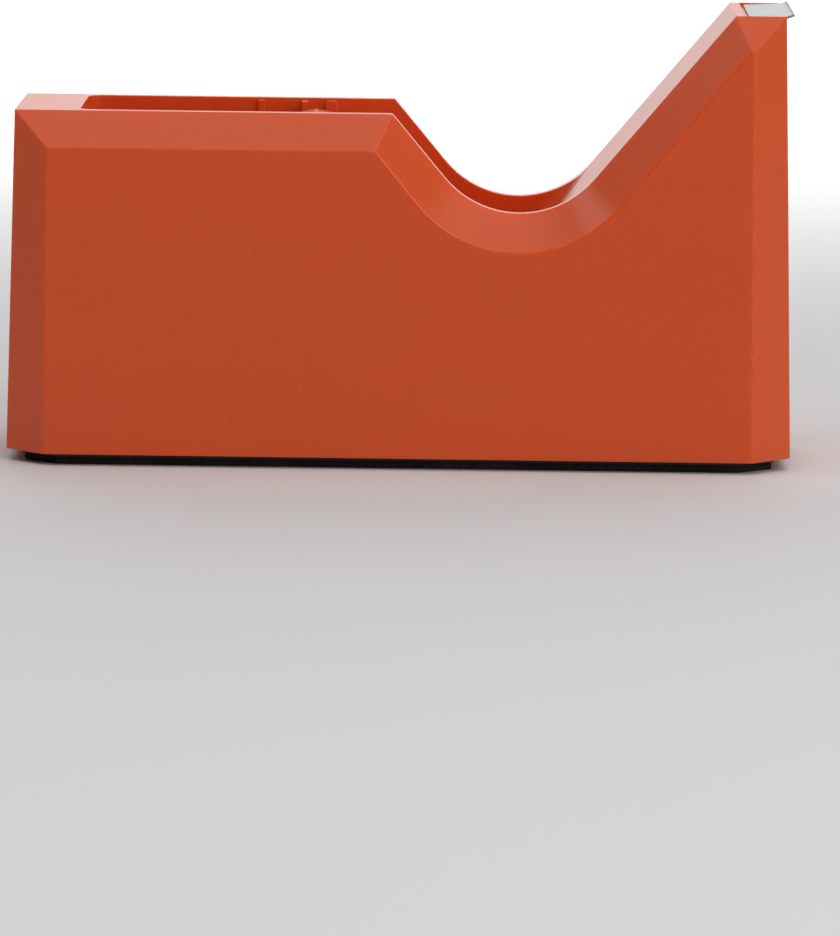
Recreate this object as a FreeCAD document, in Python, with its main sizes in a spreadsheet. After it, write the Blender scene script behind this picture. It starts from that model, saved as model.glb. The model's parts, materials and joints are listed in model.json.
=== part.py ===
import FreeCAD, Part
import math
import os
from types import SimpleNamespace

import Sketcher
from FreeCAD import Placement, Rotation, Vector

# A desk tape dispenser, empty of tape: a bevelled plastic housing whose deck dips into a saddle and
# rises to a nose that carries the cutter, a lift-out hub for tape on a 1 inch core, and two weights
# shut in by a screwed bottom plate with a non-skid pad.
#
# Frame: +X runs along the length towards the cutter, +Y across, +Z up, all in millimetres.
# The origin is the middle of the footprint, on the surface that the dispenser stands on.

SIZES = {
    # Housing, seen from the side
    "overall_length": 160.0,
    "overall_width": 54.0,
    "housing_lift": 2.4,
    "deck_top": 71.8,
    "nose_top": 92.6,
    "tail_draft": 1.2,
    "nose_draft": 1.5,
    "side_draft": 0.92,
    "slope_angle": 50.0,
    "saddle_centre_x": 24.0,
    "saddle_low": 51.9,
    "saddle_radius": 19.8,
    "bevel": 8.0,
    "skin": 2.4,
    # Tape well
    "well_tail_x": -65.5,
    "well_half_width": 16.5,
    "well_wall": 2.2,
    "well_corner": 8.0,
    "well_end_round": 3.3,
    # Axle seats and ribs on the well's side walls
    "hub_x": -18.1,
    "hub_height": 57.5,
    "axle_radius": 1.75,
    "axle_length": 32.4,
    "axle_chamfer": 0.3,
    "slot_half_width": 1.875,
    "seat_reach": 3.0,
    "seat_depth": 7.0,
    "seat_guide": 1.2,
    "seat_nose_side": 3.1,
    "rib_reach": 1.2,
    "rib_top_gap": 0.5,
    "guide_rib_width": 2.3,
    "guide_rib_round": 0.7,
    "wall_rib_x": -29.65,
    "wall_rib_width": 1.3,
    # Hub
    "hub_radius": 12.3,
    "hub_half_length": 12.8,
    "hub_wall": 1.9,
    "hub_web": 1.6,
    "hub_web_inset": 1.0,
    "hub_boss_radius": 4.0,
    "hub_bore_radius": 1.8,
    "hub_shoulder": 0.4,
    "hub_chamfer": 0.4,
    "spigot_gap": 0.1,
    "spigot_wall": 1.2,
    "spigot_length": 3.0,
    "grip_radius": 1.06,
    "grip_rise": 0.2,
    "grip_count": 6,
    "window_radius": 1.9,
    "window_circle": 6.9,
    # Cutter blade and its recess
    "blade_thickness": 0.5,
    "blade_half_width": 17.9,
    "blade_back_x": 70.1,
    "blade_bend_x": 77.7,
    "blade_tip_x": 79.3,
    "blade_corner": 1.2,
    "blade_tilt": 2.2,
    "lip_angle": 18.0,
    "recess_back_x": 69.3,
    "recess_half_width": 18.3,
    "recess_depth": 0.85,
    "tooth_pitch": 1.3,
    "tooth_depth": 0.85,
    "tooth_count": 27,
    "tooth_overrun": 0.1,
    "tab_x": 72.5,
    "tab_y": 5.0,
    "tab_width": 4.6,
    "tab_length": 5.0,
    "tab_gap": 0.2,
    # Base
    "pad_thickness": 1.5,
    "plate_thickness": 1.9,
    "plate_end_inset": 3.3,
    "plate_half_width": 24.3,
    "plate_corner_x": 7.0,
    "plate_corner_y": 6.0,
    "pad_inset": 0.4,
    "pad_corner_round": 1.5,
    "boss_radius": 3.0,
    "boss_bury": 0.6,
    "boss_y": 13.0,
    "boss_tail_x": -70.5,
    "boss_nose_x": 71.5,
    "pilot_radius": 1.5,
    "pilot_depth": 12.0,
    "screw_radius": 1.45,
    "screw_length": 10.0,
    "screw_head_radius": 2.8,
    "screw_head_height": 1.4,
    "screw_hole_radius": 1.7,
    "countersink_radius": 2.95,
    "recess_width": 0.7,
    "recess_length": 3.2,
    "drive_depth": 0.8,
    # Weights
    "weight_gap": 0.1,
    "steel_weight_tail_x": -66.0,
    "steel_weight_nose_x": 14.0,
    "steel_weight_half_width": 17.0,
    "cast_weight_tail_x": 20.0,
    "cast_weight_nose_x": 67.5,
    "cast_weight_top": 62.0,
    "cast_weight_half_width": 18.5,
    "cast_weight_clearance": 4.0,
    "weight_edge": 1.0,
}

doc = FreeCAD.newDocument("TapeDispenser")


# ---------------------------------------------------------------- sizes and their expressions

class Size:
    """A dimension as a number, and as the expression that works it out from the spreadsheet."""

    def __init__(self, number, text):
        self.number = number
        self.text = text

    def __add__(self, other):
        other = as_size(other)
        return Size(self.number + other.number, f"({self.text} + {other.text})")

    def __sub__(self, other):
        other = as_size(other)
        return Size(self.number - other.number, f"({self.text} - {other.text})")

    def __mul__(self, other):
        other = as_size(other)
        return Size(self.number * other.number, f"({self.text} * {other.text})")

    def __truediv__(self, other):
        other = as_size(other)
        return Size(self.number / other.number, f"({self.text} / {other.text})")

    def __neg__(self):
        return Size(-self.number, f"(0 - {self.text})")


def as_size(value):
    return value if isinstance(value, Size) else Size(float(value), f"({float(value)})")


def sine(angle):
    return Size(math.sin(math.radians(angle.number)), f"sin({angle.text})")


def cosine(angle):
    return Size(math.cos(math.radians(angle.number)), f"cos({angle.text})")


def tangent(angle):
    return Size(math.tan(math.radians(angle.number)), f"tan({angle.text})")


def make_sheet():
    """The driving dimensions, one row each: name in column A, value with its alias in column B."""
    sheet = doc.addObject("Spreadsheet::Sheet", "Sizes")
    for row, (name, value) in enumerate(SIZES.items(), start=1):
        sheet.set(f"A{row}", name)
        sheet.set(f"B{row}", str(value))
        sheet.setAlias(f"B{row}", name)
    doc.recompute()
    return SimpleNamespace(**{name: Size(value, f"Sizes.{name}") for name, value in SIZES.items()})


S = make_sheet()


def bind(item, **properties):
    """Set properties from sizes and bind them to the sheet; a double underscore stands for a dot."""
    for name, size in properties.items():
        size = as_size(size)
        path = name.replace("__", ".")
        if "." not in path:
            current = getattr(item, path)
            setattr(item, path, int(size.number) if isinstance(current, int) else size.number)
        item.setExpression(path, size.text)


# ---------------------------------------------------------------- bodies, sketches and features

def new_body(label):
    body = doc.addObject("PartDesign::Body", label)
    body.Label = label
    return body


def origin_item(body, role):
    return next(item for item in body.Origin.OriginFeatures if item.Role == role)


def new_sketch(body, name, role, lift=None):
    """An empty sketch on one of the body's origin planes, lifted along that plane's normal."""
    sketch = body.newObject("Sketcher::SketchObject", name)
    sketch.AttachmentSupport = [(origin_item(body, role), "")]
    sketch.MapMode = "FlatFace"
    if lift is not None:
        sketch.AttachmentOffset = Placement(Vector(0, 0, lift.number), Rotation())
        sketch.setExpression("AttachmentOffset.Base.z", lift.text)
    return sketch


def fix_point(sketch, geometry, end, across=None, up=None):
    """Hold a point of the sketch at signed distances from the sketch's origin."""
    for kind, size in (("DistanceX", across), ("DistanceY", up)):
        if size is None:
            continue
        size = as_size(size)
        index = sketch.addConstraint(Sketcher.Constraint(kind, -1, 1, geometry, end, size.number))
        sketch.setExpression(f"Constraints[{index}]", size.text)


def line_to(across, up):
    return SimpleNamespace(end=(as_size(across), as_size(up)), centre=None, clockwise=False)


def arc_to(across, up, centre, clockwise=False):
    centre = (as_size(centre[0]), as_size(centre[1]))
    return SimpleNamespace(end=(as_size(across), as_size(up)), centre=centre, clockwise=clockwise)


def flat_vector(point):
    return Vector(point[0].number, point[1].number, 0)


def arc_geometry(start, step):
    """The circle arc of a step; Sketcher arcs always run anticlockwise, so a clockwise one is turned."""
    centre = flat_vector(step.centre)
    first, last = flat_vector(start), flat_vector(step.end)
    if step.clockwise:
        first, last = last, first
    circle = Part.Circle(centre, Vector(0, 0, 1), (first - centre).Length)
    first_angle = math.atan2(first.y - centre.y, first.x - centre.x)
    last_angle = math.atan2(last.y - centre.y, last.x - centre.x)
    if last_angle <= first_angle:
        last_angle += 2 * math.pi
    return Part.ArcOfCircle(circle, first_angle, last_angle)


def add_outline(sketch, start, steps):
    """A closed outline of lines and arcs; a last line is added if the steps don't return to the start."""
    start = (as_size(start[0]), as_size(start[1]))
    if (flat_vector(steps[-1].end) - flat_vector(start)).Length > 1e-6:
        steps = steps + [line_to(*start)]
    pieces = []
    here = start
    for step in steps:
        if step.centre is None:
            geometry = sketch.addGeometry(Part.LineSegment(flat_vector(here), flat_vector(step.end)), False)
            pieces.append((geometry, 1, 2, step))
        else:
            geometry = sketch.addGeometry(arc_geometry(here, step), False)
            ends = (2, 1) if step.clockwise else (1, 2)
            pieces.append((geometry, ends[0], ends[1], step))
        here = step.end
    for piece, following in zip(pieces, pieces[1:] + pieces[:1]):
        joined = (piece[0], piece[2], following[0], following[1])
        sketch.addConstraint(Sketcher.Constraint("Coincident", *joined))
    for geometry, _first, last, step in pieces:
        across, up = step.end
        if step.centre is None:
            fix_point(sketch, geometry, last, across, up)
            continue
        fix_point(sketch, geometry, 3, *step.centre)
        spoke = flat_vector(step.end) - flat_vector(step.centre)
        # An arc's far end is already on its circle, so only its better placed coordinate is held.
        if abs(spoke.y) > abs(spoke.x):
            fix_point(sketch, geometry, last, across=across)
        else:
            fix_point(sketch, geometry, last, up=up)


def add_circle(sketch, across, up, radius):
    centre = (as_size(across), as_size(up))
    radius = as_size(radius)
    circle = Part.Circle(flat_vector(centre), Vector(0, 0, 1), radius.number)
    geometry = sketch.addGeometry(circle, False)
    fix_point(sketch, geometry, 3, *centre)
    index = sketch.addConstraint(Sketcher.Constraint("Radius", geometry, radius.number))
    sketch.setExpression(f"Constraints[{index}]", radius.text)


def add_rectangle(sketch, low, high):
    add_outline(sketch, low, [line_to(high[0], low[1]), line_to(high[0], high[1]), line_to(low[0], high[1])])


def extrude(body, kind, name, sketch, length=None, both_ways=True, reverse=False):
    """A Pad or Pocket of the sketch; a Pocket with no length goes through everything."""
    feature = body.newObject("PartDesign::" + kind, name)
    feature.Profile = sketch
    feature.SideType = "Symmetric" if both_ways else "One side"
    feature.Reversed = reverse
    if length is None:
        feature.Type = "ThroughAll"
    else:
        bind(feature, Length=length)
    sketch.Visibility = False
    doc.recompute()
    return feature


def pad(body, name, sketch, length, both_ways=True, reverse=False):
    return extrude(body, "Pad", name, sketch, length, both_ways, reverse)


def pocket(body, name, sketch, length=None, both_ways=True, reverse=False):
    before = body.Shape.Volume
    feature = extrude(body, "Pocket", name, sketch, length, both_ways, reverse)
    if not feature.Shape.Volume < before:
        raise RuntimeError(f"{name} removes nothing from {body.Label}")
    return feature


def dress(body, kind, name, feature, edges, size):
    """A Fillet or Chamfer of the named edges or faces."""
    finish = body.newObject("PartDesign::" + kind, name)
    finish.Base = (feature, edges)
    bind(finish, **{"Radius" if kind == "Fillet" else "Size": size})
    doc.recompute()
    return finish


def pattern(body, kind, name, originals, **settings):
    """A PolarPattern or LinearPattern of earlier features, made the body's tip."""
    repeat = body.newObject("PartDesign::" + kind, name)
    repeat.Originals = originals
    for setting, value in settings.items():
        if isinstance(value, Size):
            bind(repeat, **{setting: value})
        else:
            setattr(repeat, setting, value)
    body.Tip = repeat
    doc.recompute()
    return repeat


def edges_where(shape, test):
    return [f"Edge{number}" for number, edge in enumerate(shape.Edges, start=1) if test(edge)]


def near(value, target, tolerance=0.01):
    return abs(value - target) < tolerance


def runs_along(edge, axis):
    """True for a straight edge parallel to a row axis, 0 to 2 for X to Z."""
    if not isinstance(edge.Curve, Part.Line):
        return False
    return near(abs(edge.Curve.Direction[axis]), 1.0, 1e-6)


# ---------------------------------------------------------------- the housing's side view

def side_view(inset):
    """Named points of the housing's side view, moved inwards by inset, as pairs of across and up."""
    p = SimpleNamespace()
    half = S.overall_length / 2
    foot = S.housing_lift - inset
    deck = S.deck_top - inset
    nose = S.nose_top - inset
    tail_in = inset / cosine(S.tail_draft)
    nose_in = inset / cosine(S.nose_draft)
    p.radius = S.saddle_radius + inset
    p.tail_foot = ((foot - S.housing_lift) * tangent(S.tail_draft) + tail_in - half, foot)
    p.nose_foot = (half - nose_in - (foot - S.housing_lift) * tangent(S.nose_draft), foot)
    p.tail_top = ((deck - S.housing_lift) * tangent(S.tail_draft) + tail_in - half, deck)
    p.nose_end = (half - nose_in - (nose - S.housing_lift) * tangent(S.nose_draft), nose)
    p.saddle = (S.saddle_centre_x, S.saddle_low + S.saddle_radius)
    p.saddle_tail = saddle_point(p.saddle, p.radius, -1)
    p.saddle_nose = saddle_point(p.saddle, p.radius, 1)
    p.deck_end = (p.saddle_tail[0] - (deck - p.saddle_tail[1]) / tangent(S.slope_angle), deck)
    p.slope_top = (p.saddle_nose[0] + (nose - p.saddle_nose[1]) / tangent(S.slope_angle), nose)
    return p


def saddle_point(centre, radius, side):
    """Where an arc about the saddle's centre meets the slope on its tail side, -1, or nose side, 1."""
    return (centre[0] + radius * sine(S.slope_angle) * side, centre[1] - radius * cosine(S.slope_angle))


def slope_run_out(point, radius):
    """Where an arc about a point, of that radius, becomes parallel to the slope."""
    return (point[0] + radius * sine(S.slope_angle), point[1] - radius * cosine(S.slope_angle))


P = side_view(as_size(0))
HUB = (S.hub_x, S.hub_height)
# The well's floor is round about the hub where the roll comes nearest to it, and that round runs
# out into the slope, so its radius is the distance from the hub to the slope.
REACH = ((P.saddle_nose[0] - S.hub_x) * sine(S.slope_angle)
         - (P.saddle_nose[1] - S.hub_height) * cosine(S.slope_angle))
FLOOR = S.hub_height - REACH
PLATE_TOP = S.pad_thickness + S.plate_thickness
# How far a cut runs past the material it clears, and past the outside of the housing.
MARGIN = 1.0
BEYOND = 5.0
ABOVE = S.nose_top + BEYOND


# ---------------------------------------------------------------- housing

def bevel_run(body, name, start, end, rim_y, past_start, past_end):
    """Cut the 45 degree bevel along one straight run of the rim, which lies at rim_y.

    The tool is a box with one face on the bevel. Its long edge starts just above the rim line, and it
    runs past both ends of the run, or stops exactly where the run meets the saddle.
    """
    side = math.copysign(1, rim_y.number)
    start_point = Vector(start[0].number, rim_y.number, start[1].number)
    along = Vector(end[0].number, rim_y.number, end[1].number) - start_point
    length = along.Length
    along.normalize()
    normal = Vector(along.z, side, -along.x).normalize()
    lengthwise = along * -side
    down = normal.cross(lengthwise)
    first_end = start_point + along * (length + past_end) if side > 0 else start_point - along * past_start
    box = body.newObject("PartDesign::SubtractiveBox", name)
    bind(box, Width=S.bevel * 2, Height=S.bevel * 2)
    box.Length = length + past_start + past_end
    box.Placement = Placement(first_end - down * MARGIN, Rotation(lengthwise, down, normal, "ZXY"))
    doc.recompute()


def bevel_saddle(body, name, points, rim_y):
    """Cut the round stretch of the bevel, part of a 45 degree cone about the saddle's axis."""
    side = math.copysign(1, rim_y.number)
    cone = body.newObject("PartDesign::SubtractiveCone", name)
    height = S.bevel * 1.5
    bind(cone, Radius1=points.radius, Radius2=points.radius + height, Height=height)
    rim = Vector(points.saddle[0].number, rim_y.number, points.saddle[1].number)
    cone.Placement = Placement(rim, Rotation(Vector(0, 0, 1), Vector(0, side, 0)))
    doc.recompute()


def bevelled_form(body, inset):
    """The side view across the full width, bevelled, with drafted front and back, all moved inwards."""
    points = side_view(inset)
    sketch = new_sketch(body, f"{body.Label}_side_view", "XZ_Plane")
    add_outline(sketch, points.tail_foot, [
        line_to(*points.nose_foot),
        line_to(*points.nose_end),
        line_to(*points.slope_top),
        line_to(*points.saddle_nose),
        arc_to(*points.saddle_tail, centre=points.saddle, clockwise=True),
        line_to(*points.deck_end),
        line_to(*points.tail_top),
    ])
    pad(body, f"{body.Label}_block", sketch, S.overall_width)
    runs = (
        ("nose_end", points.nose_foot, points.nose_end, MARGIN, MARGIN),
        ("nose_top", points.nose_end, points.slope_top, MARGIN, MARGIN),
        ("slope", points.slope_top, points.saddle_nose, MARGIN, 0),
        ("dip", points.saddle_tail, points.deck_end, 0, MARGIN),
        ("deck", points.deck_end, points.tail_top, MARGIN, MARGIN),
        ("tail", points.tail_top, points.tail_foot, MARGIN, MARGIN),
    )
    # Moving a 45 degree bevel inwards brings its rim line in by less than the inset itself.
    rim_y = S.overall_width / 2 - S.bevel - inset * (math.sqrt(2) - 1)
    for place, side in (("front", -1), ("back", 1)):
        for run, start, end, past_start, past_end in runs:
            name = f"{body.Label}_{place}_{run}_bevel"
            bevel_run(body, name, start, end, rim_y * side, past_start, past_end)
        bevel_saddle(body, f"{body.Label}_{place}_saddle_bevel", points, rim_y * side)
    sketch = new_sketch(body, f"{body.Label}_side_wedges", "YZ_Plane")
    half = S.overall_width / 2 - inset / cosine(S.side_draft)
    low = S.housing_lift - BEYOND
    high = S.nose_top + BEYOND
    outside = S.overall_width / 2 + BEYOND
    for side in (-1, 1):
        add_outline(sketch, ((half - (low - S.housing_lift) * tangent(S.side_draft)) * side, low), [
            line_to(outside * side, low),
            line_to(outside * side, high),
            line_to((half - (high - S.housing_lift) * tangent(S.side_draft)) * side, high),
        ])
    pocket(body, f"{body.Label}_side_draft", sketch)


def housing_shell(body):
    """The outer form, hollowed from below by the same form moved inwards by the skin."""
    bevelled_form(body, as_size(0))
    core = new_body("core")
    bevelled_form(core, S.skin)
    hollow = body.newObject("PartDesign::Boolean", "hollow")
    hollow.Type = "Cut"
    hollow.addObjects([core])
    doc.recompute()


def well_outline(sketch, spread, top_steps, start_up):
    """The well's tail wall, floor and slope wall, moved outwards by spread, then closed by top_steps."""
    tail = S.well_tail_x - spread
    corner = (S.well_tail_x + S.well_corner, FLOOR + S.well_corner)
    reach = REACH + spread
    add_outline(sketch, (tail, start_up), [
        line_to(tail, corner[1]),
        arc_to(corner[0], FLOOR - spread, centre=corner),
        line_to(S.hub_x, FLOOR - spread),
        arc_to(*slope_run_out(HUB, reach), centre=HUB),
    ] + top_steps)


def housing_well(body):
    """The tape well: its walls, closed into the skin, and then its space, open at the top."""
    middle = S.skin / 2
    sketch = new_sketch(body, "well_walls_outline", "XZ_Plane")
    shoulder = (P.deck_end[0] - middle * tangent(S.slope_angle / 2), S.deck_top - middle)
    well_outline(sketch, S.well_wall, [
        line_to(*slope_run_out(P.saddle_nose, S.well_wall)),
        line_to(*slope_run_out(P.saddle_nose, middle)),
        arc_to(*saddle_point(P.saddle, S.saddle_radius + middle, -1), centre=P.saddle, clockwise=True),
        line_to(*shoulder),
    ], S.deck_top - middle)
    pad(body, "well_walls", sketch, (S.well_half_width + S.well_wall) * 2)
    sketch = new_sketch(body, "well_space_outline", "XZ_Plane")
    well_outline(sketch, as_size(0), [
        line_to(*P.saddle_nose),
        line_to(P.saddle_nose[0], ABOVE),
    ], ABOVE)
    space = pocket(body, "well_space", sketch, S.well_half_width * 2)
    tail = S.well_tail_x.number
    half = S.well_half_width.number

    def is_end_corner(edge):
        place = edge.CenterOfMass
        return runs_along(edge, 2) and near(place.x, tail) and near(abs(place.y), half)

    corners = edges_where(space.Shape, is_end_corner)
    dress(body, "Fillet", "well_end_rounds", space, corners, S.well_end_round)


def wall_features(body, name, outlines, reach, cut_low, cut_high):
    """Features on both side walls: padded right across the well, then cleared between their faces."""
    sketch = new_sketch(body, name + "_outline", "XZ_Plane")
    for start, steps in outlines:
        add_outline(sketch, start, steps)
    pad(body, name, sketch, (S.well_half_width + S.well_wall / 2) * 2)
    sketch = new_sketch(body, name + "_clearance_outline", "XZ_Plane")
    add_rectangle(sketch, cut_low, cut_high)
    pocket(body, name + "_clearance", sketch, (S.well_half_width - reach) * 2)


def housing_ribs(body):
    """Low wall ribs, and seats for the axle: a deep guide and block behind it, open at the top."""
    top = S.deck_top - S.rib_top_gap
    slot_tail = S.hub_x - S.slot_half_width
    slot_nose = S.hub_x + S.slot_half_width
    guide_nose = slot_nose + S.guide_rib_width
    seat_low = S.hub_height - S.seat_depth
    rib_tail = S.wall_rib_x - S.wall_rib_width / 2
    rib_nose = S.wall_rib_x + S.wall_rib_width / 2
    rib_foot = FLOOR - S.well_wall / 2
    wall_rib = ((rib_tail, rib_foot), [
        line_to(rib_nose, rib_foot),
        line_to(rib_nose, top),
        line_to(rib_tail, top),
    ])
    turn = S.guide_rib_round
    guide_rib = ((slot_nose, seat_low), [
        line_to(guide_nose, seat_low),
        line_to(guide_nose, top - turn),
        arc_to(guide_nose - turn, top, centre=(guide_nose - turn, top - turn)),
        line_to(slot_nose + turn, top),
        arc_to(slot_nose, top - turn, centre=(slot_nose + turn, top - turn)),
    ])
    cut_low = (rib_tail - MARGIN, FLOOR)
    cut_high = (guide_nose + MARGIN, S.deck_top - S.rib_top_gap / 2)
    wall_features(body, "low_ribs", [wall_rib, guide_rib], S.rib_reach, cut_low, cut_high)
    seat_tail = slot_tail - S.seat_guide
    seat_nose = S.hub_x + S.seat_nose_side
    seat = ((seat_tail, seat_low), [
        line_to(seat_nose, seat_low),
        line_to(seat_nose, S.hub_height),
        line_to(slot_nose, S.hub_height),
        arc_to(slot_tail, S.hub_height, centre=HUB, clockwise=True),
        line_to(slot_tail, top),
        line_to(seat_tail, top),
    ])
    cut_low = (seat_tail - MARGIN, seat_low - MARGIN)
    cut_high = (seat_nose + MARGIN, S.deck_top - S.rib_top_gap / 2)
    wall_features(body, "axle_seats", [seat], S.seat_reach, cut_low, cut_high)


def blade_floor_up(across):
    """Height of the recess floor, which climbs gently towards the cutting edge."""
    return S.nose_top - S.recess_depth + (across - S.recess_back_x) * tangent(S.blade_tilt)


def housing_recess(body):
    """The shallow recess for the blade on top of the nose, and the slots for the blade's tabs."""
    beyond = S.overall_length / 2 + BEYOND
    sketch = new_sketch(body, "blade_recess_outline", "XZ_Plane")
    add_outline(sketch, (S.recess_back_x, blade_floor_up(S.recess_back_x)), [
        line_to(beyond, blade_floor_up(beyond)),
        line_to(beyond, ABOVE),
        line_to(S.recess_back_x, ABOVE),
    ])
    pocket(body, "blade_recess", sketch, S.recess_half_width * 2)
    sketch = new_sketch(body, "tab_slots_outline", "XY_Plane", S.nose_top)
    half_length = S.blade_thickness / 2 + S.tab_gap
    half_width = S.tab_width / 2 + S.tab_gap
    for side in (-1, 1):
        low = (S.tab_x - half_length, S.tab_y * side - half_width)
        high = (S.tab_x + half_length, S.tab_y * side + half_width)
        add_rectangle(sketch, low, high)
    pocket(body, "tab_slots", sketch, S.skin * 2, both_ways=False)


def boss_places():
    return [(across, S.boss_y * side) for across in (S.boss_tail_x, S.boss_nose_x) for side in (-1, 1)]


def housing_bosses(body):
    """Four long screw bosses that hang from the skin, with pilot holes for the screws."""
    for across, top in ((S.boss_tail_x, S.deck_top), (S.boss_nose_x, S.nose_top)):
        end = "tail" if across is S.boss_tail_x else "nose"
        sketch = new_sketch(body, f"{end}_bosses_outline", "XY_Plane", PLATE_TOP)
        for side in (-1, 1):
            add_circle(sketch, across, S.boss_y * side, S.boss_radius)
        pad(body, f"{end}_bosses", sketch, top - S.skin + S.boss_bury - PLATE_TOP, both_ways=False)
    sketch = new_sketch(body, "pilot_holes_outline", "XY_Plane", PLATE_TOP)
    for across, along in boss_places():
        add_circle(sketch, across, along, S.pilot_radius)
    pocket(body, "pilot_holes", sketch, S.pilot_depth, both_ways=False, reverse=True)


def make_housing():
    body = new_body("housing")
    housing_shell(body)
    housing_well(body)
    housing_ribs(body)
    housing_recess(body)
    housing_bosses(body)
    return body


# ---------------------------------------------------------------- cutter blade

def make_cutter_blade():
    """A stamped steel strip: flat body, upturned toothed lip, and two tabs turned down into the nose."""
    body = new_body("cutter_blade")
    sheet = S.blade_thickness
    back_up = blade_floor_up(S.blade_back_x)
    bend_up = blade_floor_up(S.blade_bend_x)
    tip_up = bend_up + (S.blade_tip_x - S.blade_bend_x) * tangent(S.lip_angle)
    sketch = new_sketch(body, "strip_section", "XZ_Plane")
    add_outline(sketch, (S.blade_back_x, back_up), [
        line_to(S.blade_bend_x, bend_up),
        line_to(S.blade_tip_x, tip_up),
        line_to(S.blade_tip_x - sheet * sine(S.lip_angle), tip_up + sheet * cosine(S.lip_angle)),
        line_to(S.blade_bend_x, bend_up + sheet),
        line_to(S.blade_back_x, back_up + sheet),
    ])
    strip = pad(body, "strip", sketch, S.blade_half_width * 2)
    back = S.blade_back_x.number

    def is_back_corner(edge):
        return runs_along(edge, 2) and near(edge.CenterOfMass.x, back)

    dress(body, "Fillet", "back_corners", strip, edges_where(strip.Shape, is_back_corner), S.blade_corner)
    sketch = new_sketch(body, "tabs_outline", "XY_Plane", blade_floor_up(S.tab_x) + sheet / 2)
    for side in (-1, 1):
        low = (S.tab_x - sheet / 2, S.tab_y * side - S.tab_width / 2)
        high = (S.tab_x + sheet / 2, S.tab_y * side + S.tab_width / 2)
        add_rectangle(sketch, low, high)
    pad(body, "tabs", sketch, S.tab_length, both_ways=False, reverse=True)
    first = -S.tooth_pitch * (S.tooth_count - 1) / 2
    # The gaps meet in points on the tip line, and the cut goes on widening a little past it.
    flare = S.tooth_pitch / 2 * (S.tooth_overrun + 1)
    past_tip = S.blade_tip_x + S.tooth_depth * S.tooth_overrun
    sketch = new_sketch(body, "tooth_gap_outline", "XY_Plane", S.nose_top)
    add_outline(sketch, (S.blade_tip_x - S.tooth_depth, first), [
        line_to(past_tip, first - flare),
        line_to(past_tip, first + flare),
    ])
    gap = pocket(body, "tooth_gap", sketch)
    across_width = (origin_item(body, "Y_Axis"), [""])
    pattern(body, "LinearPattern", "teeth", [gap], Direction=across_width,
            Length=S.tooth_pitch * (S.tooth_count - 1), Occurrences=S.tooth_count)
    return body


# ---------------------------------------------------------------- hub and axle

def hub_section(sketch, side):
    """Half section of one hub half: across is the radius, up is along the axle, side -1 or 1.

    The front half, side -1, also has the spigot that plugs into the rear half.
    """
    inner = S.hub_radius - S.hub_wall
    end = S.hub_half_length
    web_out = end - S.hub_web_inset
    web_in = web_out - S.hub_web
    outside = [
        line_to(S.hub_boss_radius, (end + S.hub_shoulder) * side),
        line_to(S.hub_boss_radius, web_out * side),
        line_to(inner, web_out * side),
        line_to(inner, end * side),
        line_to(S.hub_radius - S.hub_chamfer, end * side),
        line_to(S.hub_radius, (end - S.hub_chamfer) * side),
        line_to(S.hub_radius, 0),
    ]
    spigot_out = inner - S.spigot_gap
    spigot_in = spigot_out - S.spigot_wall
    spigot = [
        line_to(spigot_out, 0),
        line_to(spigot_out, S.spigot_length),
        line_to(spigot_in, S.spigot_length),
        line_to(spigot_in, -S.spigot_length),
        line_to(inner, -S.spigot_length - (inner - spigot_in)),
    ]
    socket = [line_to(inner, 0)]
    inside = [
        line_to(inner, web_in * side),
        line_to(S.hub_boss_radius, web_in * side),
        line_to(S.hub_boss_radius, 0),
        line_to(S.hub_bore_radius, 0),
    ]
    start = (S.hub_bore_radius, (end + S.hub_shoulder) * side)
    add_outline(sketch, start, outside + (spigot if side < 0 else socket) + inside)


def make_hub_half(label, side):
    """A cup with a web, a boss on the axle, round windows, and grips along its barrel."""
    body = new_body(label)
    sketch = new_sketch(body, "half_section", "XY_Plane")
    hub_section(sketch, side)
    cup = body.newObject("PartDesign::Revolution", "cup")
    cup.Profile = sketch
    cup.ReferenceAxis = (sketch, ["V_Axis"])
    cup.Angle = 360
    doc.recompute()
    axle_line = (origin_item(body, "Y_Axis"), [""])
    sketch = new_sketch(body, "window_outline", "XZ_Plane")
    add_circle(sketch, 0, S.window_circle, S.window_radius)
    window = pocket(body, "window", sketch, S.hub_half_length + MARGIN, both_ways=False, reverse=side < 0)
    pattern(body, "PolarPattern", "windows", [window], Axis=axle_line, Angle=360.0, Occurrences=S.grip_count)
    sketch = new_sketch(body, "grip_outline", "XZ_Plane")
    add_circle(sketch, 0, S.hub_radius + S.grip_rise - S.grip_radius, S.grip_radius)
    grip = pad(body, "grip", sketch, S.hub_half_length - S.hub_chamfer, both_ways=False, reverse=side > 0)
    pattern(body, "PolarPattern", "grips", [grip], Axis=axle_line, Angle=360.0, Occurrences=S.grip_count)
    bind(body, Placement__Base__x=S.hub_x, Placement__Base__z=S.hub_height)
    return body


def make_hub_axle():
    body = new_body("hub_axle")
    sketch = new_sketch(body, "axle_section", "XZ_Plane")
    add_circle(sketch, 0, 0, S.axle_radius)
    rod = pad(body, "rod", sketch, S.axle_length)
    rims = edges_where(rod.Shape, lambda edge: isinstance(edge.Curve, Part.Circle))
    dress(body, "Chamfer", "rod_ends", rod, rims, S.axle_chamfer)
    bind(body, Placement__Base__x=S.hub_x, Placement__Base__z=S.hub_height)
    return body


# ---------------------------------------------------------------- base

def base_outline(sketch, inset):
    """The base's footprint: a rectangle with cut corners that follow the housing's bevels."""
    end = S.overall_length / 2 - S.plate_end_inset - inset
    side = S.plate_half_width - inset
    corners = []
    for x_side, y_side in ((1, -1), (1, 1), (-1, 1), (-1, -1)):
        on_side = ((end - S.plate_corner_x) * x_side, side * y_side)
        on_end = (end * x_side, (side - S.plate_corner_y) * y_side)
        corners += [on_side, on_end] if x_side * y_side < 0 else [on_end, on_side]
    add_outline(sketch, corners[0], [line_to(*corner) for corner in corners[1:]])


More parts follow.
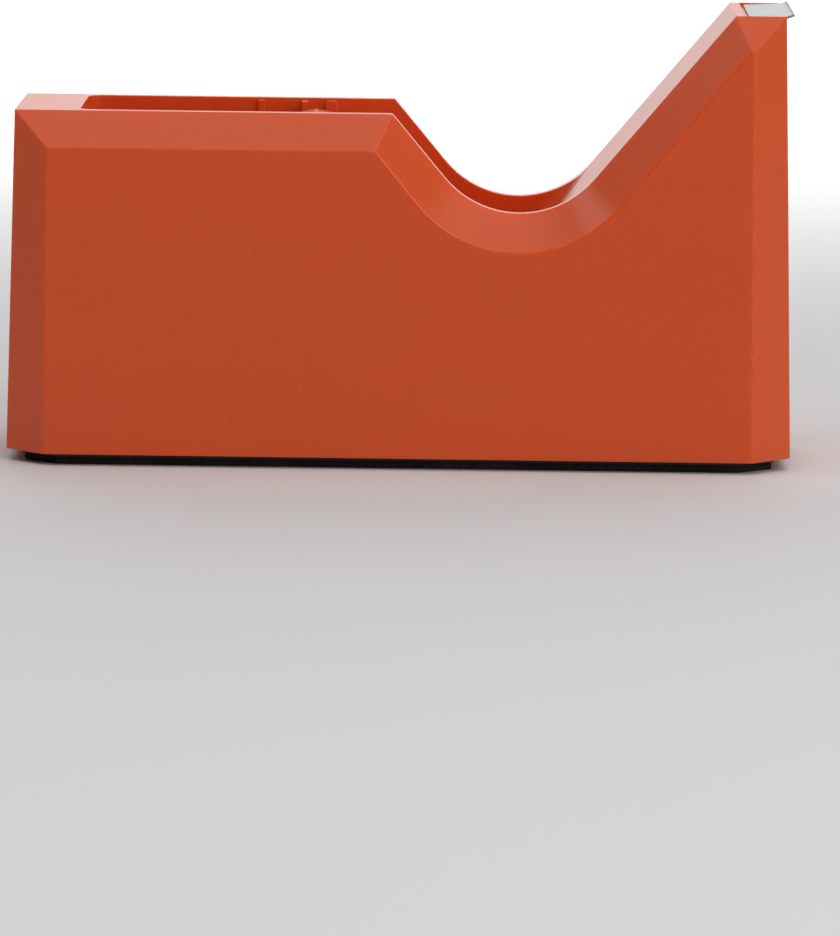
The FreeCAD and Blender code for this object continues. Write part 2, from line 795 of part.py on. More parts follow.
def make_bottom_plate():
    """The plate that shuts the housing, held by countersunk screws into the bosses."""
    body = new_body("bottom_plate")
    sketch = new_sketch(body, "plate_outline", "XY_Plane", S.pad_thickness)
    base_outline(sketch, as_size(0))
    pad(body, "plate", sketch, S.plate_thickness, both_ways=False)
    sketch = new_sketch(body, "screw_holes_outline", "XY_Plane", S.pad_thickness)
    for across, along in boss_places():
        add_circle(sketch, across, along, S.screw_hole_radius)
    holes = pocket(body, "screw_holes", sketch, S.plate_thickness, both_ways=False, reverse=True)
    under = S.pad_thickness.number
    radius = S.screw_hole_radius.number

    def is_mouth(edge):
        on_underside = near(edge.BoundBox.ZMax, under)
        return on_underside and isinstance(edge.Curve, Part.Circle) and near(edge.Curve.Radius, radius)

    mouths = edges_where(holes.Shape, is_mouth)
    dress(body, "Chamfer", "countersinks", holes, mouths, S.countersink_radius - S.screw_hole_radius)
    return body


def make_screws():
    """Four countersunk self-tapping screws with cross recesses, one group of separate solids."""
    screws = []
    for number, (across, along) in enumerate(boss_places(), start=1):
        head = doc.addObject("Part::Cone", f"screw_head_{number}")
        bind(head, Radius1=S.screw_head_radius, Radius2=S.screw_radius, Height=S.screw_head_height)
        shank = doc.addObject("Part::Cylinder", f"screw_shank_{number}")
        bind(shank, Radius=S.screw_radius, Height=S.screw_length)
        blank = doc.addObject("Part::MultiFuse", f"screw_blank_{number}")
        for piece in (head, shank):
            bind(piece, Placement__Base__x=across, Placement__Base__y=along,
                 Placement__Base__z=S.pad_thickness)
        blank.Shapes = [head, shank]
        recess = doc.addObject("Part::MultiFuse", f"screw_recess_{number}")
        wings = []
        for wing_number, (size_x, size_y) in enumerate(((S.recess_length, S.recess_width),
                                                        (S.recess_width, S.recess_length)), start=1):
            wing = doc.addObject("Part::Box", f"recess_wing_{number}_{wing_number}")
            bind(wing, Length=size_x, Width=size_y, Height=S.drive_depth * 2,
                 Placement__Base__x=across - size_x / 2, Placement__Base__y=along - size_y / 2,
                 Placement__Base__z=S.pad_thickness - S.drive_depth)
            wings.append(wing)
        recess.Shapes = wings
        screw = doc.addObject("Part::Cut", f"screw_{number}")
        screw.Base = blank
        screw.Tool = recess
        screws.append(screw)
    group = doc.addObject("Part::Compound", "bottom_plate_screws")
    group.Label = "bottom_plate_screws"
    group.Links = screws
    doc.recompute()
    return group


def make_non_skid_pad():
    body = new_body("non_skid_pad")
    sketch = new_sketch(body, "pad_outline", "XY_Plane")
    base_outline(sketch, S.pad_inset)
    foam = pad(body, "foam", sketch, S.pad_thickness, both_ways=False)
    uprights = edges_where(foam.Shape, lambda edge: runs_along(edge, 2))
    dress(body, "Fillet", "foam_corners", foam, uprights, S.pad_corner_round)
    return body


# ---------------------------------------------------------------- weights

def make_steel_weight():
    """A flat bar between the bottom plate and the floor of the well."""
    bar = doc.addObject("Part::Box", "steel_weight_bar")
    ceiling = FLOOR - S.well_wall
    bind(bar, Length=S.steel_weight_nose_x - S.steel_weight_tail_x, Width=S.steel_weight_half_width * 2,
         Height=ceiling - PLATE_TOP - S.weight_gap * 2)
    bind(bar, Placement__Base__x=S.steel_weight_tail_x, Placement__Base__y=-S.steel_weight_half_width,
         Placement__Base__z=PLATE_TOP + S.weight_gap)
    doc.recompute()
    weight = doc.addObject("Part::Chamfer", "steel_weight")
    weight.Label = "steel_weight"
    weight.Base = bar
    edge = S.weight_edge.number
    weight.Edges = [(number, edge, edge) for number in range(1, len(bar.Shape.Edges) + 1)]
    doc.recompute()
    return weight


def make_cast_weight():
    """A cast block that fills the nose below the slope, between the bottom plate and the skin."""
    body = new_body("cast_weight")
    foot = PLATE_TOP + S.weight_gap
    drop = S.cast_weight_clearance / cosine(S.slope_angle)

    def slope_up(across):
        return P.saddle_nose[1] + (across - P.saddle_nose[0]) * tangent(S.slope_angle) - drop

    top_tail = P.saddle_nose[0] + (S.cast_weight_top + drop - P.saddle_nose[1]) / tangent(S.slope_angle)
    sketch = new_sketch(body, "block_outline", "XZ_Plane")
    add_outline(sketch, (S.cast_weight_tail_x, foot), [
        line_to(S.cast_weight_nose_x, foot),
        line_to(S.cast_weight_nose_x, S.cast_weight_top),
        line_to(top_tail, S.cast_weight_top),
        line_to(S.cast_weight_tail_x, slope_up(S.cast_weight_tail_x)),
    ])
    block = pad(body, "block", sketch, S.cast_weight_half_width * 2)
    every_edge = edges_where(block.Shape, lambda edge: True)
    dress(body, "Chamfer", "block_edges", block, every_edge, S.weight_edge)
    return body


# ---------------------------------------------------------------- build, check and write

def build_all():
    return [
        make_housing(),
        make_cutter_blade(),
        make_hub_half("hub_half_front", -1),
        make_hub_half("hub_half_rear", 1),
        make_hub_axle(),
        make_bottom_plate(),
        make_screws(),
        make_non_skid_pad(),
        make_steel_weight(),
        make_cast_weight(),
    ]


def check_all(sub_parts):
    doc.recompute()
    for item in doc.Objects:
        if "Invalid" in item.State or "Error" in item.State:
            raise RuntimeError(f"{item.Name} is {item.State}")
    for item in sub_parts:
        if item.Shape.isNull() or not item.Shape.isValid():
            raise RuntimeError(f"{item.Label} has no valid shape")


def write_all(sub_parts):
    os.makedirs("parts", exist_ok=True)
    for item in sub_parts:
        item.Shape.exportStep(f"parts/{item.Label}.step")
        box = item.Shape.BoundBox
        volume = item.Shape.Volume / 1000
        print(f"{item.Label:22} solids {len(item.Shape.Solids)}  volume {volume:8.2f} cm3  "
              f"X {box.XMin:7.2f} {box.XMax:7.2f}  Y {box.YMin:7.2f} {box.YMax:7.2f}  "
              f"Z {box.ZMin:7.2f} {box.ZMax:7.2f}")


parts = build_all()
check_all(parts)
write_all(parts)
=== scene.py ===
import json
import math

import bmesh
import bpy
from mathutils import Matrix, Vector


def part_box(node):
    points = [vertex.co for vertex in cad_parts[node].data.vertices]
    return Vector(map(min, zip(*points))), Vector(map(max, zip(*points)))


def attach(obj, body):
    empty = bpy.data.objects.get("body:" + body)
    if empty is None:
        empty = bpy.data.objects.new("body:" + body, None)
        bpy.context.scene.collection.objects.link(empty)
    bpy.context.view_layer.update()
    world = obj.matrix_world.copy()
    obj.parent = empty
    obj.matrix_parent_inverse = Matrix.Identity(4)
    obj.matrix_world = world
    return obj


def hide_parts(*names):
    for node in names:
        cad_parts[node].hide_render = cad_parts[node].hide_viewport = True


# The looks of a desk tape dispenser: softened edges, moulded plastic, steel, foam and cast cement
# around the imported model, under soft studio light. Everything is in metres, in the model's frame.

MM = 0.001

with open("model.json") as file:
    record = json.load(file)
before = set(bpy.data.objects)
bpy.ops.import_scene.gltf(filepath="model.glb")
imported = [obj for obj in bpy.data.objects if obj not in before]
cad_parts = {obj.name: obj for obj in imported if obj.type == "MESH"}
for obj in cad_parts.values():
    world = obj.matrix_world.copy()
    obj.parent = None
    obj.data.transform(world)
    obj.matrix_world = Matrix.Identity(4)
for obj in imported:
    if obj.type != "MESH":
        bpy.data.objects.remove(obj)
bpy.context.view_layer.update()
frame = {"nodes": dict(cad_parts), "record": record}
NODES = frame["nodes"]


# ---------------------------------------------------------------- materials

class Finish:
    """A Principled material, and the procedural nodes that feed its colour, roughness and bump."""

    def __init__(self, name, **sockets):
        self.material = bpy.data.materials.new(name)
        self.material.use_nodes = True
        self.nodes = self.material.node_tree.nodes
        self.links = self.material.node_tree.links
        self.shader = self.nodes["Principled BSDF"]
        for socket, value in sockets.items():
            self.shader.inputs[socket.replace("_", " ")].default_value = value
        self.place = self.nodes.new("ShaderNodeTexCoord").outputs["Object"]
        self.normal = None

    def fill(self, sockets, values):
        """Fill each socket from the output of another node or from a plain value."""
        for socket, value in zip(sockets, values):
            if isinstance(value, bpy.types.NodeSocket):
                self.links.new(value, socket)
            else:
                socket.default_value = value

    def feed(self, node, **inputs):
        """Fill a node's inputs by name."""
        self.fill([node.inputs[name.replace("_", " ")] for name in inputs], inputs.values())

    def mapped(self, size, stretch=(1, 1, 1), turn=(0, 0, 0)):
        """Object coordinates scaled so that one unit is size metres, longer along a stretched axis."""
        mapping = self.nodes.new("ShaderNodeMapping")
        mapping.vector_type = "TEXTURE"
        scale = [size * axis for axis in stretch]
        self.feed(mapping, Vector=self.place, Scale=scale, Rotation=[math.radians(a) for a in turn])
        return mapping.outputs["Vector"]

    def noise(self, size, detail=2.0, **mapping):
        node = self.nodes.new("ShaderNodeTexNoise")
        self.feed(node, Vector=self.mapped(size, **mapping), Scale=1.0, Detail=detail)
        return node.outputs["Fac"]

    def cells(self, size, **mapping):
        """Distance to the nearest of scattered points about size metres apart, in units of size."""
        node = self.nodes.new("ShaderNodeTexVoronoi")
        self.feed(node, Vector=self.mapped(size, **mapping), Scale=1.0)
        return node.outputs["Distance"]

    def spread(self, value, into, over=(0.3, 0.7)):
        """A value between the two bounds of over, spread between the two bounds of into."""
        node = self.nodes.new("ShaderNodeMapRange")
        self.feed(node, Value=value, From_Min=over[0], From_Max=over[1], To_Min=into[0], To_Max=into[1])
        return node.outputs["Result"]

    def times(self, first, second):
        node = self.nodes.new("ShaderNodeMath")
        node.operation = "MULTIPLY"
        self.fill(node.inputs, (first, second))
        return node.outputs[0]

    def plus(self, first, second):
        node = self.nodes.new("ShaderNodeMath")
        self.fill(node.inputs, (first, second))
        return node.outputs[0]

    def attribute(self, name):
        node = self.nodes.new("ShaderNodeAttribute")
        node.attribute_name = name
        return node.outputs["Fac"]

    def mix(self, factor, first, second):
        """A colour between first and second, each a colour or a node's output."""
        node = self.nodes.new("ShaderNodeMix")
        node.data_type = "RGBA"
        sockets = [socket for socket in node.inputs if socket.type == "RGBA"]
        colours = [(*colour, 1) if isinstance(colour, tuple) else colour for colour in (first, second)]
        self.links.new(factor, node.inputs["Factor"])
        self.fill(sockets, colours)
        return next(socket for socket in node.outputs if socket.type == "RGBA")

    def bump(self, height, depth):
        """Raise the surface by height times depth metres, on top of any bump already there."""
        node = self.nodes.new("ShaderNodeBump")
        self.feed(node, Height=height, Distance=depth)
        if self.normal is not None:
            self.links.new(self.normal, node.inputs["Normal"])
        self.normal = node.outputs["Normal"]

    def done(self, colour, roughness):
        self.feed(self.shader, Base_Color=colour, Roughness=roughness)
        if self.normal is not None:
            self.feed(self.shader, Normal=self.normal)
        return self.material


def shade(colour, factor):
    return tuple(min(1.0, channel * factor) for channel in colour)


# Moulded plastic. Each size is how far apart the texture's features lie.
SCATTER = {"Subsurface_Weight": 0.7, "Subsurface_Scale": 3.0 * MM, "Subsurface_Radius": (1.0, 0.35, 0.12)}
FLOW_SIZE = 30 * MM
FLOW_TONE = 0.015
GRAIN_TONE = 0.82
GRAIN_SHARE = 0.4
LIGHT_SPECK_SIZE = 7 * MM
LIGHT_SPECK = (0.9, 0.45, 0.3)
LIGHT_SPECK_SHARE = 0.45
DARK_SPECK_SIZE = 9 * MM
DARK_SPECK_TONE = 0.3
DARK_SPECK_SHARE = 0.5
# Rounded edges: lightened in patches as a painted highlight, and made a little less rough.
EDGE_HIGHLIGHT_AND_POLISH_SIZE = 12 * MM
EDGE_HIGHLIGHT_TONE = 1.25
EDGE_HIGHLIGHT_SHARE = 0.15
EDGE_POLISH = -0.04
HAIRLINE_SIZE = 10 * MM
HAIRLINE_STRETCH = (1.6, 1.6, 0.02)
HAIRLINE_TURN = (0, 62, 0)
HAIRLINE_ROUGH = 0.05
CLOUD_SIZE = 25 * MM
CLOUD_ROUGH = 0.012


def moulded_plastic(name, colour, roughness, grain, grain_depth):
    """Satin moulded plastic: faint flow tones, fine grain, a few specks, hairlines, and polished edges
    lightened as a painted highlight.
    """
    finish = Finish(name, IOR=1.45, **SCATTER)
    flow = finish.spread(finish.noise(FLOW_SIZE, 3, stretch=(2.2, 1, 1)), (0, 1))
    tone = finish.mix(flow, shade(colour, 1 - FLOW_TONE), shade(colour, 1 + FLOW_TONE))
    fine = finish.spread(finish.noise(grain, 2), (0, 1))
    tone = finish.mix(finish.times(fine, GRAIN_SHARE), tone, shade(colour, GRAIN_TONE))
    light_speck = finish.spread(finish.cells(LIGHT_SPECK_SIZE), (1, 0), (0.016, 0.03))
    tone = finish.mix(finish.times(light_speck, LIGHT_SPECK_SHARE), tone, LIGHT_SPECK)
    dark_speck = finish.spread(finish.cells(DARK_SPECK_SIZE, turn=(31, 17, 8)), (1, 0), (0.01, 0.02))
    tone = finish.mix(finish.times(dark_speck, DARK_SPECK_SHARE), tone, shade(colour, DARK_SPECK_TONE))
    # Painted highlight: patches along the rounded edges are lightened in colour, and their roughness is
    # lowered.
    edge_highlight_and_polish = finish.spread(finish.noise(EDGE_HIGHLIGHT_AND_POLISH_SIZE, 3), (0, 1))
    edge_highlight_and_polish = finish.times(finish.attribute("edge"), edge_highlight_and_polish)
    tone = finish.mix(finish.times(edge_highlight_and_polish, EDGE_HIGHLIGHT_SHARE), tone, shade(colour, EDGE_HIGHLIGHT_TONE))
    hairline = finish.cells(HAIRLINE_SIZE, stretch=HAIRLINE_STRETCH, turn=HAIRLINE_TURN)
    hairline = finish.spread(hairline, (1, 0), (0.03, 0.07))
    cloud = finish.noise(CLOUD_SIZE, 2)
    rough = finish.spread(cloud, (roughness - CLOUD_ROUGH, roughness + CLOUD_ROUGH))
    rough = finish.plus(rough, finish.times(edge_highlight_and_polish, EDGE_POLISH))
    rough = finish.plus(rough, finish.times(hairline, HAIRLINE_ROUGH))
    finish.bump(finish.noise(grain, 3), grain_depth)
    return finish.done(tone, rough)


def brushed_steel(name, colour, roughness, along, blotches=0.05):
    """Steel with fine lines that run along one axis, and light stains."""
    finish = Finish(name, Metallic=1.0)
    stretch = [0.012] * 3
    stretch["XYZ".index(along)] = 1.0
    lines = finish.noise(6 * MM, 4, stretch=stretch)
    stain = finish.spread(finish.noise(4 * MM, 4), (0, 1))
    tone = finish.mix(finish.spread(lines, (0, 1)), shade(colour, 0.9), shade(colour, 1.06))
    tone = finish.mix(finish.times(stain, blotches * 4), tone, shade(colour, 0.78))
    rough = finish.spread(lines, (roughness - 0.06, roughness + 0.08))
    rough = finish.plus(rough, finish.times(stain, blotches))
    finish.bump(lines, 0.006 * MM)
    return finish.done(tone, rough)


def closed_cell_foam(name, colour):
    """Black foam rubber: burst cells that show as fine pits, painted darker as shade, with dust caught in
    some of them.
    """
    finish = Finish(name, IOR=1.5, Specular_IOR_Level=0.3)
    pits = finish.spread(finish.cells(0.45 * MM), (0, 1), (0.05, 0.6))
    dust = finish.times(finish.spread(finish.noise(9 * MM, 4), (0, 1), (0.5, 0.75)), 0.35)
    # Painted shade: the colour is darker in the pits.
    tone = finish.mix(pits, shade(colour, 0.55), shade(colour, 1.5))
    tone = finish.mix(dust, tone, (0.06, 0.058, 0.055))
    rough = finish.spread(pits, (0.95, 0.8), (0, 1))
    finish.bump(pits, 0.09 * MM)
    finish.bump(finish.noise(5 * MM, 2), 0.12 * MM)
    return finish.done(tone, rough)


def rolled_bar(name, colour):
    """Hot rolled steel: dark mill scale with rust along it, and a coarse skin."""
    finish = Finish(name, Metallic=0.85)
    scale = finish.spread(finish.noise(7 * MM, 5, stretch=(3, 1, 1)), (0, 1), (0.35, 0.65))
    rust = finish.spread(finish.noise(3 * MM, 6), (0, 1), (0.56, 0.68))
    tone = finish.mix(scale, shade(colour, 0.7), shade(colour, 1.4))
    tone = finish.mix(finish.times(rust, 0.8), tone, (0.16, 0.06, 0.025))
    rough = finish.spread(scale, (0.5, 0.72), (0, 1))
    finish.bump(finish.noise(0.8 * MM, 5), 0.05 * MM)
    finish.bump(rust, 0.04 * MM)
    return finish.done(tone, rough)


def cast_cement(name, colour):
    """Cast cement: cloudy grey, sand grains, and pits left by air, painted dark as shade."""
    finish = Finish(name, IOR=1.5)
    cloud = finish.spread(finish.noise(16 * MM, 6), (0, 1))
    sand = finish.spread(finish.cells(0.9 * MM), (0, 1), (0.1, 0.7))
    holes = finish.spread(finish.cells(5 * MM, turn=(20, 40, 10)), (1, 0), (0.1, 0.17))
    tone = finish.mix(cloud, shade(colour, 0.82), shade(colour, 1.15))
    tone = finish.mix(finish.times(sand, 0.3), tone, shade(colour, 1.35))
    # Painted shade: the air holes are darkened.
    tone = finish.mix(holes, tone, shade(colour, 0.4))
    rough = finish.spread(sand, (0.82, 0.97), (0, 1))
    finish.bump(sand, 0.08 * MM)
    finish.bump(holes, -0.6 * MM)
    return finish.done(tone, rough)


ORANGE = (0.86, 0.115, 0.020)

FINISHES = {
    "housing_plastic": moulded_plastic("satin_orange_plastic", ORANGE, 0.29, 0.30 * MM, 0.005 * MM),
    "hub_plastic": moulded_plastic("hub_orange_plastic", ORANGE, 0.27, 0.25 * MM, 0.004 * MM),
    "blade_steel": brushed_steel("stamped_steel", (0.46, 0.465, 0.47), 0.34, "Y"),
    "axle_steel": brushed_steel("drawn_steel", (0.55, 0.56, 0.58), 0.30, "Y"),
    "plate_plastic": moulded_plastic("matt_black_plastic", (0.02, 0.02, 0.022), 0.62, 0.5 * MM, 0.03 * MM),
    "screw_steel": brushed_steel("zinc_plated_steel", (0.62, 0.62, 0.6), 0.36, "Z", 0.09),
    "pad_foam": closed_cell_foam("non_skid_foam", (0.012, 0.012, 0.013)),
    "weight_steel": rolled_bar("mill_scale_steel", (0.16, 0.15, 0.145)),
    "weight_cement": cast_cement("cast_cement", (0.42, 0.41, 0.39)),
}
SLOT_OF = {part["node"]: part["material_slot"] for part in frame["record"]["subparts"]}

for node_name, node in NODES.items():
    node.data.materials.clear()
    node.data.materials.append(FINISHES[SLOT_OF[node_name]])


# ---------------------------------------------------------------- softened copies of the CAD nodes

# Vertices this close are one, faces that turn this little are one flat face, and edges that turn more
# than SHARP_ANGLE are rounded over, in SEGMENTS steps. WIDEST is the setback of an edge of weight 1.
WELD = 0.002 * MM
FLAT_ANGLE = math.radians(0.35)
SHARP_ANGLE = math.radians(28)
WIDEST = 0.5 * MM
SEGMENTS = 3
FACE_WEIGHT = 100


def welded(node):
    """The node's mesh as one closed surface, with the triangles of each flat face joined up."""
    mesh = bmesh.new()
    mesh.from_mesh(node.data)
    bmesh.ops.remove_doubles(mesh, verts=mesh.verts, dist=WELD)
    bmesh.ops.dissolve_limit(mesh, angle_limit=FLAT_ANGLE, verts=mesh.verts, edges=mesh.edges)
    bmesh.ops.recalc_face_normals(mesh, faces=mesh.faces)
    return mesh


def softened(node_name, body, rule):
    """A copy of a node with its sharp edges rounded over.

    The rule gives each sharp edge's setback in metres from the edge's middle, or 0 to leave it sharp.
    The copy carries an attribute named edge, which is 1 along the rounded edges.
    """
    mesh = welded(NODES[node_name])
    weights = mesh.edges.layers.float.new("bevel_weight_edge")
    for edge in mesh.edges:
        if len(edge.link_faces) != 2 or edge.calc_face_angle() < SHARP_ANGLE:
            continue
        start, end = (vertex.co for vertex in edge.verts)
        edge[weights] = rule((start + end) / 2) / WIDEST
    data = bpy.data.meshes.new(node_name + "_softened")
    # Plain faces only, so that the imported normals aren't carried over to the new shape.
    mesh.verts.index_update()
    data.from_pydata([v.co for v in mesh.verts], [], [[v.index for v in f.verts] for f in mesh.faces])
    kept = {tuple(sorted(v.index for v in edge.verts)): edge[weights] for edge in mesh.edges}
    mesh.free()
    layer = data.attributes.new("bevel_weight_edge", "FLOAT", "EDGE")
    for edge in data.edges:
        layer.data[edge.index].value = kept[tuple(sorted(edge.vertices))]
    data.shade_smooth()
    piece = bpy.data.objects.new(node_name + "_softened", data)
    bpy.context.scene.collection.objects.link(piece)
    finish = FINISHES[SLOT_OF[node_name]]
    data.materials.append(finish)
    data.materials.append(finish)
    bevel = piece.modifiers.new("soft_edges", "BEVEL")
    bevel.limit_method = "WEIGHT"
    bevel.width = WIDEST
    bevel.segments = SEGMENTS
    bevel.use_clamp_overlap = False
    bevel.material = 1
    even = piece.modifiers.new("even_shading", "WEIGHTED_NORMAL")
    even.weight = FACE_WEIGHT
    shape = bpy.data.meshes.new_from_object(piece.evaluated_get(bpy.context.evaluated_depsgraph_get()))
    piece.modifiers.clear()
    piece.data = shape
    mark_edges(shape)
    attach(piece, body)
    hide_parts(node_name)


def mark_edges(mesh):
    """Set the edge attribute from the faces that the bevel made, then give them the one material."""
    open_vertices = {v for face in mesh.polygons if face.material_index == 0 for v in face.vertices}
    layer = mesh.attributes.new("edge", "FLOAT", "POINT")
    for vertex in mesh.vertices:
        layer.data[vertex.index].value = 0.0 if vertex.index in open_vertices else 1.0
    for face in mesh.polygons:
        face.material_index = 0
    mesh.materials.pop(index=1)


# How far each kind of housing edge is set back.
SETBACK = {
    "foot": 0.15 * MM,
    "side": 0.40 * MM,
    "rim": 0.22 * MM,
    "mitre": 0.25 * MM,
    "recess": 0.12 * MM,
}
HUB_SETBACK = 0.12 * MM
PLATE_SETBACK = 0.2 * MM

# The housing's rim lines are this far from its middle, and its side faces lie outside SIDE_Y.
RIM_Y = 19 * MM
RIM_BAND = 0.05 * MM
SIDE_Y = 25.4 * MM

# The outer edges of the foot lie outside these: beside, at either end, and across the cut corners.
FOOT_Y = 24.3 * MM
FOOT_X = 77.5 * MM
FOOT_CORNER = 96 * MM
FOOT_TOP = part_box("housing")[0].z + 0.1 * MM


def housing_edge(middle):
    """Setback of the housing's edges: broad on the outer form, fine at the rim, recess and ribs."""
    length = abs(middle.x)
    width = abs(middle.y)
    if middle.z < FOOT_TOP:
        outer = width > FOOT_Y or length > FOOT_X or width + length > FOOT_CORNER
        return SETBACK["foot"] if outer else 0.0
    if width > SIDE_Y:
        return SETBACK["side"]
    if abs(width - RIM_Y) < RIM_BAND:
        return SETBACK["rim"]
    if width > RIM_Y:
        return SETBACK["mitre"]
    return SETBACK["recess"]


softened("housing", "dispenser", housing_edge)
softened("hub_half_front", "hub", lambda middle: HUB_SETBACK)
softened("hub_half_rear", "hub", lambda middle: HUB_SETBACK)
softened("bottom_plate", "dispenser", lambda middle: PLATE_SETBACK)


# ---------------------------------------------------------------- non-skid pad

# The pad's corners are cut off by this much along x and y. Its side is drawn in by up to PAD_BULGE at
# the top and bottom.
PAD_CUT = Vector((7, 6, 0)) * MM
PAD_ROUND = 1.5 * MM
PAD_ROUND_STEPS = 6
PAD_BULGE = 0.22 * MM
PAD_BULGE_POWER = 1.5
PAD_LEVELS = 10


def corner_arc(before, corner, after, radius, steps):
    """Points of the round that takes a corner off, from the side of before to the side of after."""
    inwards = (before - corner).normalized()
    onwards = (after - corner).normalized()
    half = inwards.angle(onwards) / 2
    centre = corner + (inwards + onwards).normalized() * radius / math.sin(half)
    first = (corner + inwards * radius / math.tan(half) - centre).normalized()
    last = (corner + onwards * radius / math.tan(half) - centre).normalized()
    return [centre + first.slerp(last, step / steps) * radius for step in range(steps + 1)]


def pad_ring(low, high, inset, up):
    """The pad's outline drawn in by inset: a rectangle with cut corners, each rounded."""
    size = (high - low) / 2 - Vector((inset, inset, 0))
    middle = (low + high) / 2
    corners = []
    for x_side, y_side in ((1, -1), (1, 1), (-1, 1), (-1, -1)):
        on_side = Vector((x_side * (size.x - PAD_CUT.x), y_side * size.y, 0))
        on_end = Vector((x_side * size.x, y_side * (size.y - PAD_CUT.y), 0))
        corners += [on_side, on_end] if x_side * y_side < 0 else [on_end, on_side]
    ring = []
    for number, corner in enumerate(corners):
        before, after = corners[number - 1], corners[(number + 1) % len(corners)]
        ring += corner_arc(before, corner, after, PAD_ROUND, PAD_ROUND_STEPS)
    return [Vector((point.x + middle.x, point.y + middle.y, up)) for point in ring]


def make_pad():
    """A sheet of foam, a little squeezed at its edge, so that its side bulges between plate and desk."""
    low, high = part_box("non_skid_pad")
    height = high.z - low.z
    mesh = bmesh.new()
    rings = []
    for level in range(PAD_LEVELS + 1):
        angle = math.pi * level / PAD_LEVELS
        inset = PAD_BULGE * (1 - math.sin(angle)) ** PAD_BULGE_POWER
        up = low.z + height * (1 - math.cos(angle)) / 2
        rings.append([mesh.verts.new(point) for point in pad_ring(low, high, inset, up)])
    for lower, upper in zip(rings, rings[1:]):
        for number in range(len(lower)):
            following = (number + 1) % len(lower)
            mesh.faces.new((lower[number], lower[following], upper[following], upper[number]))
    mesh.faces.new(list(reversed(rings[0])))
    mesh.faces.new(rings[-1])
    bmesh.ops.recalc_face_normals(mesh, faces=mesh.faces)
    data = bpy.data.meshes.new("foam_pad")
    mesh.to_mesh(data)
    mesh.free()
    data.shade_smooth()
    data.materials.append(FINISHES["pad_foam"])
    piece = bpy.data.objects.new("foam_pad", data)
    bpy.context.scene.collection.objects.link(piece)
    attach(piece, "dispenser")
    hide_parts("non_skid_pad")


make_pad()


# ---------------------------------------------------------------- camera

CAMERA_AT = Vector((16.7, -1380.2, 194.5)) * MM
CAMERA_TURN = {"pitch": 8.154, "yaw": -0.512, "roll": 0.699}
CAMERA_LENS = 259.04
CAMERA_SENSOR = 36
CAMERA_CLIP = 0.05


def view_axes(pitch, yaw, roll):
    """Right, up and forward of a camera pitched down, turned right of +Y and rolled, in degrees."""
    pitch, yaw, roll = (math.radians(angle) for angle in (pitch, yaw, roll))
    forward = Vector((math.sin(yaw) * math.cos(pitch), math.cos(yaw) * math.cos(pitch), -math.sin(pitch)))
    level = Vector((math.cos(yaw), -math.sin(yaw), 0))
    upright = level.cross(forward)
    right = level * math.cos(roll) + upright * math.sin(roll)
    up = upright * math.cos(roll) - level * math.sin(roll)
    return right, up, forward


def make_camera():
    camera = bpy.data.objects.new("camera", bpy.data.cameras.new("camera"))
    right, up, forward = view_axes(**CAMERA_TURN)
    turn = Matrix((right, up, -forward)).transposed().to_4x4()
    camera.matrix_world = Matrix.Translation(CAMERA_AT) @ turn
    camera.data.lens = CAMERA_LENS
    camera.data.sensor_width = CAMERA_SENSOR
    camera.data.clip_start = CAMERA_CLIP
    bpy.context.scene.collection.objects.link(camera)
    bpy.context.scene.camera = camera


make_camera()


# ---------------------------------------------------------------- floor and light

FLOOR_REACH = 4.0


def make_floor():
    """A plain pale floor, larger than the camera can see."""
    mesh = bmesh.new()
    bmesh.ops.create_grid(mesh, x_segments=8, y_segments=8, size=FLOOR_REACH)
    data = bpy.data.meshes.new("floor")
    mesh.to_mesh(data)
    mesh.free()
    floor = bpy.data.objects.new("floor", data)
    bpy.context.scene.collection.objects.link(floor)
    finish = Finish("pale_floor", IOR=1.45, Specular_IOR_Level=0.2)
    tone = finish.mix(finish.noise(0.4, 3), (0.80, 0.80, 0.80), (0.84, 0.84, 0.84))
    finish.bump(finish.noise(1.5 * MM, 2), 0.02 * MM)
    data.materials.append(finish.done(tone, finish.spread(finish.noise(0.1, 2), (0.7, 0.8))))


AIM = Vector((0, 0, 45)) * MM

# Each panel: the direction it stands in from the object, its distance, width and height in metres,
# and its brightness in watts.
PANELS = {
    "upper_left": ((-0.66, -0.12, 0.78), 1.3, 0.35, 0.35, 1.1),
    "right_side": ((0.80, -0.52, 0.30), 1.4, 0.8, 0.7, 2.7),
    "right_front": ((0.42, -0.70, 0.52), 1.5, 0.8, 0.8, 4.0),
    "overhead": ((0.16, -0.18, 1.0), 1.65, 3.2, 1.6, 16.5),
}

# How bright the white surroundings are all round, and how much brighter behind the object. That part
# begins and is full at these cosines of the angle from +Y.
AROUND = 0.045
BEHIND = 1.25
BEHIND_BEGINS = 0.35
BEHIND_FULL = 0.95

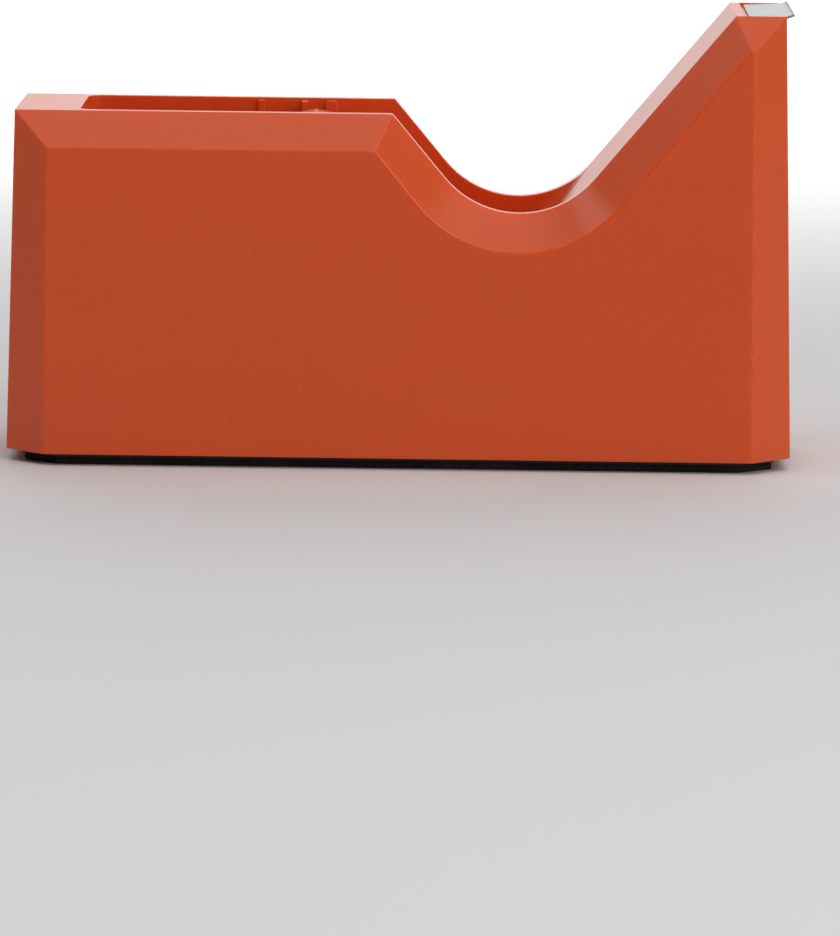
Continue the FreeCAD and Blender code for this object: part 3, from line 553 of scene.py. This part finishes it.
# A spot high behind the object, which whitens the floor there.
BACKDROP_AT = (0, 1.25, 1.1)
BACKDROP_WATTS = 60
BACKDROP_SPREAD = math.radians(88)
BACKDROP_BLEND = 0.5
BACKDROP_SIZE = 0.2


def make_panel(name, direction, distance, width, height, watts):
    """A rectangular soft light that faces the object."""
    light = bpy.data.lights.new(name, "AREA")
    light.shape = "RECTANGLE"
    light.size = width
    light.size_y = height
    light.energy = watts
    panel = bpy.data.objects.new(name, light)
    outwards = Vector(direction).normalized()
    panel.location = AIM + outwards * distance
    panel.rotation_euler = outwards.to_track_quat("Z", "Y").to_euler()
    bpy.context.scene.collection.objects.link(panel)


def make_backdrop_light():
    light = bpy.data.lights.new("backdrop", "SPOT")
    light.energy = BACKDROP_WATTS
    light.spot_size = BACKDROP_SPREAD
    light.spot_blend = BACKDROP_BLEND
    light.shadow_soft_size = BACKDROP_SIZE
    spot = bpy.data.objects.new("backdrop", light)
    spot.location = BACKDROP_AT
    bpy.context.scene.collection.objects.link(spot)


def make_world():
    """White surroundings, smoothly brighter behind the object."""
    world = bpy.data.worlds.new("studio")
    world.use_nodes = True
    nodes = world.node_tree.nodes
    links = world.node_tree.links
    facing = nodes.new("ShaderNodeVectorMath")
    facing.operation = "DOT_PRODUCT"
    links.new(nodes.new("ShaderNodeTexCoord").outputs["Generated"], facing.inputs[0])
    facing.inputs[1].default_value = (0, 1, 0)
    behind = nodes.new("ShaderNodeMapRange")
    behind.interpolation_type = "SMOOTHSTEP"
    links.new(facing.outputs["Value"], behind.inputs["Value"])
    behind.inputs["From Min"].default_value = BEHIND_BEGINS
    behind.inputs["From Max"].default_value = BEHIND_FULL
    behind.inputs["To Max"].default_value = BEHIND
    total = nodes.new("ShaderNodeMath")
    links.new(behind.outputs["Result"], total.inputs[0])
    total.inputs[1].default_value = AROUND
    background = nodes["Background"]
    background.inputs["Color"].default_value = (1, 1, 1, 1)
    links.new(total.outputs[0], background.inputs["Strength"])
    bpy.context.scene.world = world


make_floor()
for panel_name, panel in PANELS.items():
    make_panel(panel_name, *panel)
make_backdrop_light()
make_world()
bpy.context.scene.view_settings.view_transform = "Standard"
